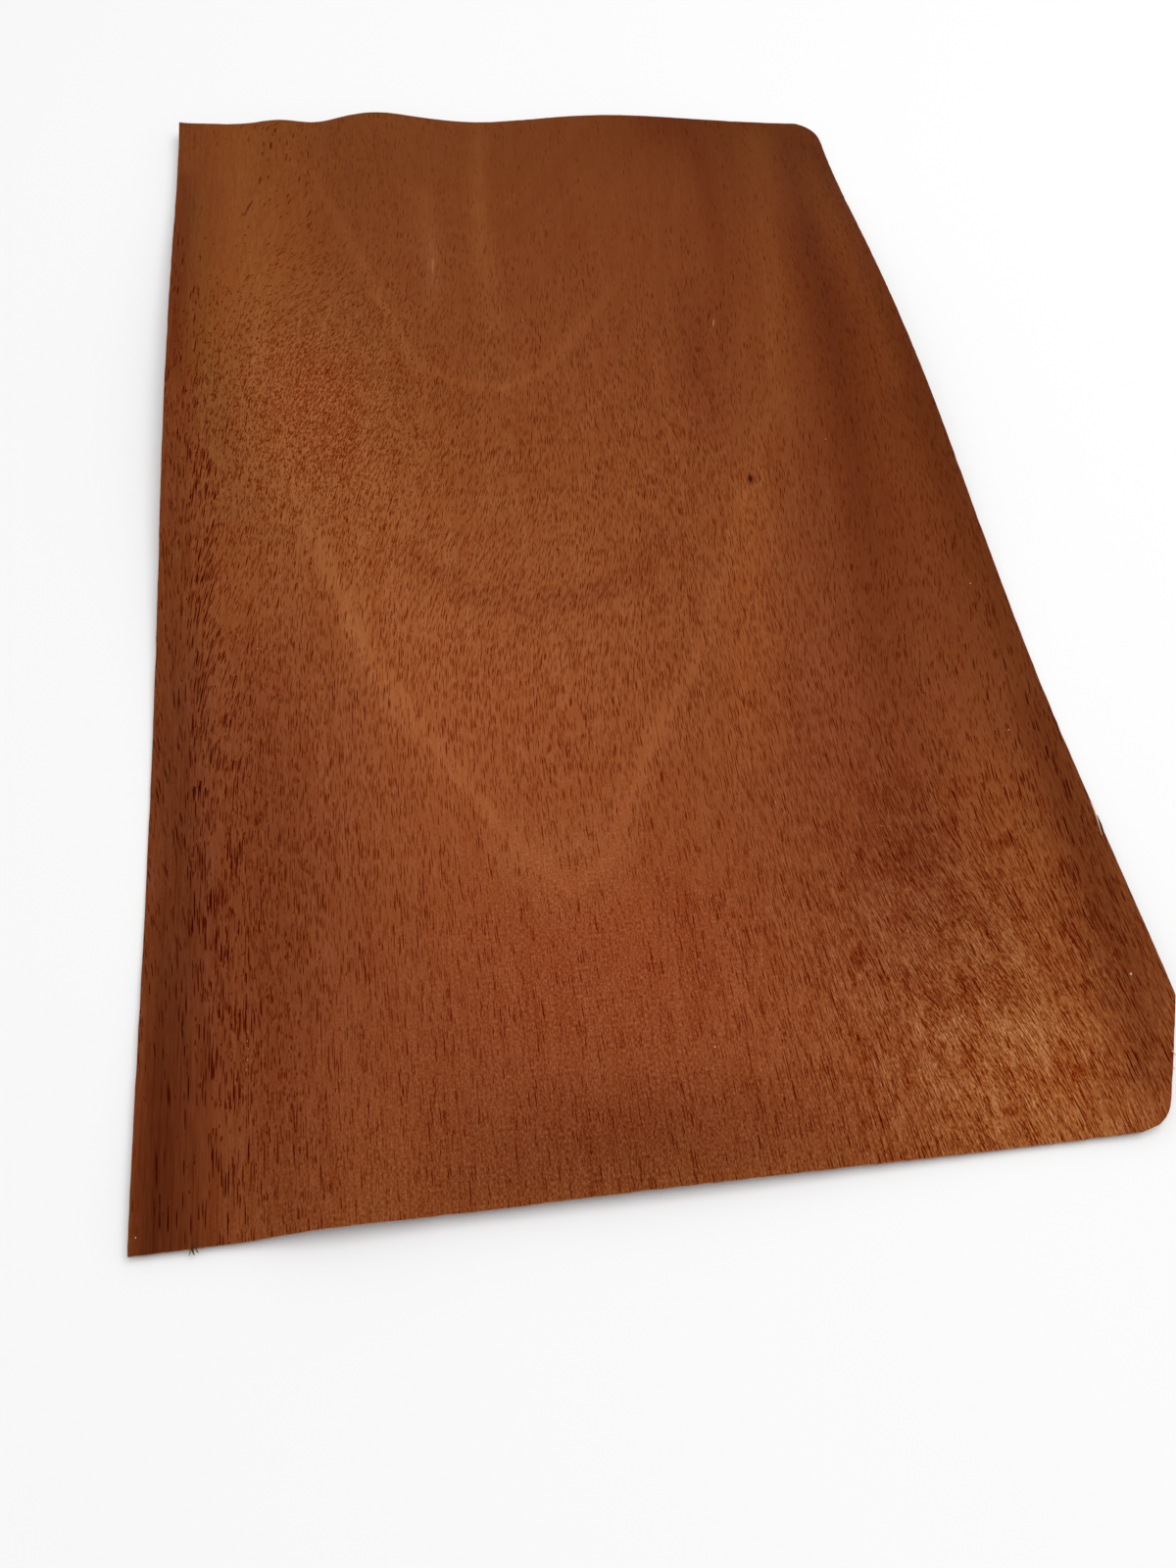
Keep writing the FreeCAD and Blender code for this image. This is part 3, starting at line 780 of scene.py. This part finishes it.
def make_pore_group():
    """Cut pores: one long thin spot in each cell of a stretched cell pattern, leaning by a slope,
    of random size and darkness, kept where the cell's random number is under the share."""
    tree, given = new_group("Pore dashes", {
        "Grain": ORIGIN, "Lean": 0.0, "Cell Width": 1.0, "Cell Length": 4.0, "Slim": 1.0,
        "Size": 0.2, "Share": 0.5, "Shift": 0.0}, "Mask")
    place = given["Grain"] / vector(tree, given["Cell Width"], given["Cell Length"], 1.0)
    place = place + vector(tree, given["Shift"], given["Shift"])
    cells = add_node(tree, "ShaderNodeTexVoronoi",
                     {"Vector": place, "Scale": 1.0, "Randomness": 1.0},
                     voronoi_dimensions="2D", feature="F1", distance="EUCLIDEAN").outputs
    random = add_node(tree, "ShaderNodeSeparateColor", {0: VectorReading(cells["Color"])})
    chance, size, darkness = (Reading(socket) for socket in random.outputs)
    off = add_node(tree, "ShaderNodeSeparateXYZ",
                   {0: place - VectorReading(cells["Position"])}).outputs
    off_across, off_along = Reading(off[0]), Reading(off[1])
    aspect = given["Cell Length"] / given["Cell Width"]
    across = (off_across - off_along * aspect * given["Lean"]) * given["Slim"]
    distance = vector(tree, across, off_along).length()
    radius = between(PORE_SIZES, size) * given["Size"]
    soft = (radius - distance).calc("DIVIDE", radius * PORE_RIM, use_clamp=True)
    kept = chance.calc("LESS_THAN", given["Share"])
    return finish_group(tree, soft * (kept * between(PORE_DARKNESS, darkness)))


def make_streak_group():
    """Fibre streaks: noise stretched along the grain, mostly within -1 to 1."""
    tree, given = new_group("Fibre streaks", {
        "Grain": ORIGIN, "Across": 1.0, "Along": 0.03, "Detail": 3.0}, "Streaks")
    place = given["Grain"] * vector(tree, given["Across"], given["Along"])
    streaks = noise(tree, {"Vector": place, "Detail": given["Detail"],
                           "Roughness": FIBRE_ROUGHNESS}, "2D")
    return finish_group(tree, swing(streaks))


def make_ring_group():
    """Growth ring lines: noise along the ring count alone, bent a little by noise on the leaf."""
    tree, given = new_group("Ring lines", {"Age": 0.0, "Grain": ORIGIN, "Rings": 8.0}, "Lines")
    wander = noise(tree, {"Vector": given["Grain"], "Scale": RING_WANDER_SCALE, "Detail": 2.0},
                   "2D")
    count = (wander * RING_WANDER + given["Age"]) * given["Rings"]
    return finish_group(tree, swing(noise(tree, {"W": count, "Detail": 2.5}, "1D")))


def make_spot_group():
    """One soft spot: an ellipse about a middle, turned, with a noisy rim. Lengths in metres."""
    tree, given = new_group("Spot", {
        "Place": ORIGIN, "Middle": ORIGIN, "Size": (1.0, 1.0, 1.0), "Turn": ORIGIN,
        "Wobble": 0.3}, "Mask")
    mapped = add_node(tree, "ShaderNodeMapping", {
        "Vector": given["Place"], "Location": given["Middle"], "Rotation": given["Turn"],
        "Scale": given["Size"]}, vector_type="TEXTURE")
    flat = VectorReading(mapped.outputs[0]) * (1.0, 1.0, 0.0)
    rim = noise(tree, {"Vector": flat, "Scale": SPOT_RIM_SCALE, "Detail": 2.0})
    reach = flat.length() + (rim - 0.5) * given["Wobble"]
    soft = add_node(tree, "ShaderNodeMapRange", {
        "Value": reach, "From Min": 1.0, "From Max": SPOT_CORE, "To Min": 0.0, "To Max": 1.0},
        interpolation_type="SMOOTHSTEP")
    return finish_group(tree, Reading(soft.outputs[0]))


# Materials

# Streak noises: waves for each millimetre across and along the grain, and detail
STREAK_NOISES = {
    "broad": (0.22, 0.012, 2.0),
    "mottle": (0.22, 0.10, 3.5),
    "cluster": (0.25, 0.12, 2.0),
    "fine": (1.6, 0.05, 3.0),
    "line": (2.3, 0.035, 2.0),
    "speckle": (3.2, 1.5, 1.0),
    "hair": (5.0, 0.25, 3.0),
}
RINGS_PER_ARCH = 9.0

# Pore layers: cell width and length in millimetres, how much slimmer than its cell a pore is, its
# size in cells, its share of the cells, its depth, and a shift that sets the layers apart
PORE_LAYERS = {
    "ring_pores": (
        (0.46, 1.3, 1.2, 0.40, 1.0, 1.35, 57.9),
        (0.54, 1.7, 1.3, 0.40, 1.0, 1.4, 0.0),
        (0.68, 2.2, 1.5, 0.38, 0.8, 1.55, 31.3)),
    "pores": (
        (0.34, 3.5, 1.5, 0.39, 1.0, 1.65, 7.3),
        (0.58, 5.6, 2.1, 0.35, 0.7, 2.1, 13.1)),
    "long_pores": (
        (0.48, 5.6, 1.5, 0.38, 1.0, 2.4, 3.7),
        (0.72, 9.0, 2.0, 0.34, 0.9, 2.8, 21.9)),
}
# Gleams: bright dashes in the curl, painted highlights of the wood's sheen, with columns as in the
# pore layers
GLEAMS = (
    (0.38, 1.6, 1.3, 0.42, 1.0, 1.0, 41.7),
    (0.52, 2.5, 1.5, 0.40, 0.8, 1.0, 53.2),
)
# How much closer the pores stand on the dark rings and in the noise's clusters
PORE_CROWDING = {"ring_pores": (0.525, 0.3), "pores": (0.77, 0.44), "long_pores": (0.0, 2.1)}

# How much of each noise goes into the shade, and how much the rings, the lines and the curl add;
# the curl's share also brings in the gleams, painted highlights. A line starts and is full at these
# heights of its noise.
SHADE_AMOUNTS = {"broad": 0.12, "mottle": 0.08, "fine": 0.2, "hair": 0.42}
RING_SHADE = 0.14
LINE_SHADE = 0.6
CURL_SHADE = 0.6
LINE_START, LINE_FULL = 0.12, 0.75

# The wood's colour never goes below this mix, nor its shade below this gain
DARKEST_LEVEL = -0.2
LEAST_GAIN = (0.1, 0.1, 0.1)

# Roughness of the face, what fibres and pores add to it, and the fibres' relief in pore depths
ROUGHNESS = 0.5
FIBRE_ROUGHENING = 0.04
PORE_ROUGHENING = 0.25
HAIR_RELIEF = 0.12

# Waves for each metre on the cut edge
EDGE_FIBRE_SCALE = 900.0

# Small marks on the face: middle and half sizes in millimetres, turn, colour on a screen and cover
MARKS = {
    "rim of the pin knot": ((45.2, 8.0), (1.5, 2.6), -0.15, (88, 34, 16), 0.6),
    "pin knot": ((45.1, 8.1), (0.7, 1.5), -0.15, (52, 14, 8), 0.95),
    "slanting scratch": ((-79.6, 127.0), (0.45, 4.2), -0.33, (72, 30, 14), 0.8),
    "foot of the scratch": ((-81.0, 123.2), (0.9, 1.3), -0.5, (72, 30, 14), 0.6),
    "long pale scuff": ((-28.8, 97.0), (0.5, 4.5), -0.1, (176, 122, 84), 0.35),
    "short pale scuff": ((47.1, 68.5), (0.3, 2.2), -0.25, (176, 122, 84), 0.6),
}


def linear(red, green, blue):
    """A colour read off a screen, 0 to 255, as Blender's linear colour."""
    screen = np.array([red, green, blue]) / 255
    light = np.where(screen <= 0.04045, screen / 12.92, ((screen + 0.055) / 1.055) ** 2.4)
    return (*light, 1.0)


def new_material(name, roughness, gloss=0.1):
    """A material of even roughness and gloss. Returns it, its tree and its shader's inputs."""
    material = bpy.data.materials.new(name)
    material.use_nodes = True
    inputs = material.node_tree.nodes["Principled BSDF"].inputs
    inputs["Roughness"].default_value = roughness
    inputs["Specular IOR Level"].default_value = gloss
    return material, material.node_tree, inputs


def make_plain_material(name, colour, roughness):
    """One even colour."""
    material, tree, inputs = new_material(name, roughness)
    inputs["Base Color"].default_value = (*colour, 1)
    return material


def dashes(tree, group, layers, wanted, grain, lean):
    """The deepest of several layers of dashes, each with its own share of what is wanted."""
    deepest = 0.0
    for width, length, slim, size, weight, depth, shift in layers:
        mask = use_group(tree, group, {
            "Grain": grain, "Lean": lean, "Cell Width": width, "Cell Length": length,
            "Slim": slim, "Size": size, "Share": wanted * weight, "Shift": shift})
        deepest = (mask * depth).at_least(deepest)
    return deepest


def base_colour(tree, settings):
    """Dark wood mixed to light wood by the painted tone, then tinted by red and by amber; these
    also hold painted shade and light as well as the wood's own colour.
    """
    level = (attribute(tree, "tone") * 0.5 + 0.5).at_least(DARKEST_LEVEL)
    colour = mix_colour(level, (*settings.dark_wood, 1), (*settings.light_wood, 1))
    for name, tint in (("red", settings.red_tint), ("amber", settings.amber_tint)):
        colour = mix_colour(attribute(tree, name), colour, (*tint, 1), "MULTIPLY")
    return colour


def add_marks(tree, group, colour):
    """Lays the knot, the scratch and the scuffs over the colour."""
    place = VectorReading(add_node(tree, "ShaderNodeTexCoord").outputs["Object"])
    for middle, size, turn, screen, cover in MARKS.values():
        mask = use_group(tree, group, {
            "Place": place, "Middle": (middle[0] * MM, middle[1] * MM, 0),
            "Size": (size[0] * MM, size[1] * MM, 1), "Turn": (0, 0, turn)})
        colour = mix_colour(mask * cover, colour, linear(*screen))
    return colour


def make_wood_material(settings, groups):
    """The face. Pores, lines, flecks, rings and fibres, and the gleams, which are painted
    highlights, are summed in one shade, below nought where they darken, and the colour is
    multiplied by the square of 1 + shade times the pore shade."""
    material, tree, inputs = new_material("veneer_face", ROUGHNESS, settings.gloss)
    grain = VectorReading(add_node(tree, "ShaderNodeUVMap", uv_map="Grain").outputs[0])
    lean = attribute(tree, "pore_lean")
    curl = attribute(tree, "curl")
    streaks = {
        name: use_group(tree, groups["streaks"], {
            "Grain": grain, "Across": across, "Along": along, "Detail": detail})
        for name, (across, along, detail) in STREAK_NOISES.items()}
    rings = use_group(tree, groups["rings"], {
        "Age": attribute(tree, "ring_age"), "Grain": grain, "Rings": RINGS_PER_ARCH})

    pores = 0.0
    for channel, layers in PORE_LAYERS.items():
        on_rings, in_clusters = PORE_CROWDING[channel]
        crowd = rings * on_rings + streaks["cluster"] * in_clusters + 1.0
        wanted = attribute(tree, channel) * crowd
        pores = dashes(tree, groups["pores"], layers, wanted, grain, lean).at_least(pores)
    # Painted highlights: bright dashes where the wood curls
    gleams = dashes(tree, groups["pores"], GLEAMS, curl, grain, lean)
    line = add_node(tree, "ShaderNodeMapRange", {
        "Value": streaks["line"], "From Min": LINE_START, "From Max": LINE_FULL})
    line = Reading(line.outputs[0])

    shade = streaks["speckle"] * attribute(tree, "flecks") - pores
    shade = shade - line * attribute(tree, "lines") * LINE_SHADE
    shade = shade + rings * RING_SHADE
    for name, amount in SHADE_AMOUNTS.items():
        shade = shade + streaks[name] * amount
    # Curl: hair and mottle of the figure, and the gleams, which are painted highlights
    shade = shade + ((streaks["hair"] + streaks["mottle"]) * curl + gleams) * CURL_SHADE
    shade = shade * attribute(tree, "crisp")
    gain = VectorReading(shade.socket) * settings.pore_shade + (1, 1, 1)
    gain = gain.at_least(LEAST_GAIN)
    colour = add_marks(tree, groups["spot"], base_colour(tree, settings) * (gain * gain))
    fill(inputs["Base Color"], colour)

    rough = streaks["fine"] * FIBRE_ROUGHENING + pores * PORE_ROUGHENING + ROUGHNESS
    fill(inputs["Roughness"], rough)
    bump = add_node(tree, "ShaderNodeBump", {
        "Height": streaks["hair"] * HAIR_RELIEF - pores, "Strength": 1.0,
        "Distance": settings.pore_depth})
    fill(inputs["Normal"], VectorReading(bump.outputs[0]))
    return material


def make_edge_material(settings):
    """The cut edge: end fibres seen side on, greyer and paler than the face."""
    material, tree, inputs = new_material("veneer_cut_edge", roughness=0.8)
    place = VectorReading(add_node(tree, "ShaderNodeTexCoord").outputs["Object"])
    fibres = noise(tree, {"Vector": place, "Scale": EDGE_FIBRE_SCALE, "Detail": 2.0})
    fill(inputs["Base Color"],
         mix_colour(fibres, (*settings.edge_dark, 1), (*settings.edge_light, 1)))
    return material


def make_fibre_material(settings):
    """Torn fibres, from dark wood to pale inner fibre."""
    material, tree, inputs = new_material("loose_fibre", roughness=0.7)
    fill(inputs["Base Color"], mix_colour(attribute(tree, "pale"), (*settings.dark_fibre, 1),
                                          (*settings.pale_fibre, 1)))
    return material


# Settings, operators and panel

def colour_property(name, description, screen):
    """A colour, its default given as it reads on a screen."""
    return FloatVectorProperty(name=name, description=description, subtype="COLOR", size=3,
                               min=0, max=1, default=linear(*screen)[:3])


def length_property(name, description, default, low, high):
    """A small length in metres."""
    return FloatProperty(name=name, description=description, default=default, min=low, max=high,
                         unit="LENGTH", precision=5)


class VeneerLeafSettings(bpy.types.PropertyGroup):
    """Sizes and colours of the leaf"""
    thickness: length_property(
        "Thickness", "Thickness of the sliced leaf", 0.0006, 0.0002, 0.003)
    raggedness: length_property(
        "Raggedness", "How far the knife's cut wanders inwards at the edges", 0.00014, 0.0, 0.001)
    columns: IntProperty(
        name="Columns", description="Grid squares across the leaf", default=188, min=20, max=400)
    rows: IntProperty(
        name="Rows", description="Grid squares along the leaf", default=256, min=20, max=600)
    pore_depth: length_property(
        "Pore depth", "How deep the open pores look", 0.00004, 0.0, 0.001)
    pore_shade: FloatVectorProperty(
        name="Pore shade", description="How strongly pores and lines darken red, green and blue",
        size=3, default=(0.20, 0.42, 0.72), min=0.0, max=1.0)
    gloss: FloatProperty(
        name="Gloss", description="Strength of the mirror reflection", default=0.02,
        min=0.0, max=1.0, subtype="FACTOR")
    light_wood: colour_property("Light wood", "Colour of the lightest wood", (166, 98, 58))
    dark_wood: colour_property("Dark wood", "Colour of the darkest wood", (86, 42, 20))
    red_tint: colour_property("Red tint", "Multiplies the wood where it is reddish",
                              (255, 221, 221))
    amber_tint: colour_property("Amber tint", "Multiplies the wood where it is amber",
                                (255, 255, 202))
    edge_dark: colour_property("Dark edge fibres", "Darker colour on the cut edge", (122, 96, 80))
    edge_light: colour_property("Pale edge fibres", "Paler colour on the cut edge", (176, 150, 132))


class VeneerDetailSettings(bpy.types.PropertyGroup):
    """Colours of the loose fibres and the dust"""
    dark_fibre: colour_property("Dark fibres", "Colour of the darkest loose fibres", (66, 36, 24))
    pale_fibre: colour_property("Pale fibres", "Colour of the palest loose fibres",
                                (226, 196, 160))
    dust: colour_property("Dust", "Colour of the dust specks", (216, 176, 144))


class VeneerStageSettings(bpy.types.PropertyGroup):
    """Floor and light"""
    floor_colour: colour_property("Floor", "Colour of the floor", (247, 247, 247))
    floor_size: FloatProperty(
        name="Floor size", description="Side of the square floor", default=8.0, min=1.0,
        unit="LENGTH")
    lamp_power: FloatProperty(
        name="Lamp power", description="Power of the large soft lamp overhead", default=14.0,
        min=0.0, unit="POWER")
    sky_strength: FloatProperty(
        name="Sky strength", description="Strength of the even white light all round",
        default=0.62, min=0.0)


class VENEER_OT_leaf(bpy.types.Operator):
    """Builds the waved leaf with its figure and stands it in for the plain solid"""
    bl_idname = "veneer.leaf"
    bl_label = "Build veneer leaf"

    def execute(self, context):
        settings = context.scene.veneer_leaf
        mesh = build_leaf_mesh(settings)
        groups = {
            "pores": make_pore_group(),
            "streaks": make_streak_group(),
            "rings": make_ring_group(),
            "spot": make_spot_group(),
        }
        materials = [make_wood_material(settings, groups), make_edge_material(settings)]
        piece = finish_piece(mesh, materials)
        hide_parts(NODE)
        return {"FINISHED"}


class VENEER_OT_details(bpy.types.Operator):
    """Adds the loose fibres at the edges and the dust specks on the face"""
    bl_idname = "veneer.details"
    bl_label = "Add fibres and dust"

    def execute(self, context):
        settings = context.scene.veneer_details
        height = fit_height(*read_node_faces())
        finish_piece(build_fibre_mesh(height), [make_fibre_material(settings)])
        dust = make_plain_material("dust", settings.dust, roughness=0.8)
        finish_piece(build_dust_mesh(height), [dust])
        return {"FINISHED"}


class VENEER_OT_stage(bpy.types.Operator):
    """Builds the pale floor, the soft light and the camera"""
    bl_idname = "veneer.stage"
    bl_label = "Build stage"

    def execute(self, context):
        settings = context.scene.veneer_stage
        half = settings.floor_size / 2 / MM
        corners = np.array([(-half, -half, 0), (half, -half, 0), (half, half, 0), (-half, half, 0)])
        corners = corners - (0, 0, FLOOR_DROP)
        mesh = make_mesh("floor", corners, np.array([[0, 1, 2, 3]]))
        white = make_plain_material("floor_white", settings.floor_colour, roughness=0.9)
        mesh.materials.append(white)
        floor = bpy.data.objects.new("floor", mesh)
        context.scene.collection.objects.link(floor)

        lamp_data = bpy.data.lights.new("soft_lamp", "AREA")
        lamp_data.shape = "SQUARE"
        lamp_data.size = LAMP_SIZE
        lamp_data.energy = settings.lamp_power
        lamp = bpy.data.objects.new("soft_lamp", lamp_data)
        lamp.location = LAMP_PLACE
        lamp.rotation_euler = (-lamp.location).to_track_quat("-Z", "Y").to_euler()
        context.scene.collection.objects.link(lamp)

        world = bpy.data.worlds.new("white_room")
        context.scene.world = world
        world.use_nodes = True
        tree = world.node_tree
        background = tree.nodes["Background"]
        background.inputs["Color"].default_value = (1, 1, 1, 1)
        path = add_node(tree, "ShaderNodeLightPath")
        seen = Reading(path.outputs["Is Camera Ray"])
        fill(background.inputs["Strength"], seen.at_least(settings.sky_strength))

        camera_data = bpy.data.cameras.new("camera")
        camera_data.lens = CAMERA_LENS
        camera_data.sensor_width = SENSOR_WIDTH
        camera_data.clip_start = CLIP_START
        camera = bpy.data.objects.new("camera", camera_data)
        right, down, forward = map(np.array, (CAMERA_RIGHT, CAMERA_DOWN, CAMERA_FORWARD))
        turn = Matrix(np.stack([right, -down, -forward], 1).tolist()).to_4x4()
        camera.matrix_world = Matrix.Translation(CAMERA_PLACE) @ turn
        context.scene.collection.objects.link(camera)
        context.scene.camera = camera
        context.scene.view_settings.view_transform = "Standard"
        return {"FINISHED"}


class VENEER_PT_panel(bpy.types.Panel):
    """Lists the settings and the operators"""
    bl_idname = "VENEER_PT_panel"
    bl_label = "Wood veneer sheet"
    bl_space_type = "VIEW_3D"
    bl_region_type = "UI"
    bl_category = "Veneer"

    def draw(self, context):
        layout = self.layout
        for group, operator in (("veneer_leaf", VENEER_OT_leaf),
                                ("veneer_details", VENEER_OT_details),
                                ("veneer_stage", VENEER_OT_stage)):
            settings = getattr(context.scene, group)
            for name in type(settings).__annotations__:
                layout.prop(settings, name)
            layout.operator(operator.bl_idname)


CLASSES = (VeneerLeafSettings, VeneerDetailSettings, VeneerStageSettings, VENEER_OT_leaf,
           VENEER_OT_details, VENEER_OT_stage, VENEER_PT_panel)


def register():
    """Adds the classes and puts their settings on the scene."""
    for kind in CLASSES:
        bpy.utils.register_class(kind)
    bpy.types.Scene.veneer_leaf = PointerProperty(type=VeneerLeafSettings)
    bpy.types.Scene.veneer_details = PointerProperty(type=VeneerDetailSettings)
    bpy.types.Scene.veneer_stage = PointerProperty(type=VeneerStageSettings)


def unregister():
    """Takes the settings and the classes away again."""
    del bpy.types.Scene.veneer_stage
    del bpy.types.Scene.veneer_details
    del bpy.types.Scene.veneer_leaf
    for kind in reversed(CLASSES):
        bpy.utils.unregister_class(kind)


def main():
    """Builds the leaf, its details and the stage in order."""
    register()
    bpy.ops.veneer.leaf()
    bpy.ops.veneer.details()
    bpy.ops.veneer.stage()


if __name__ == "__main__":
    main()
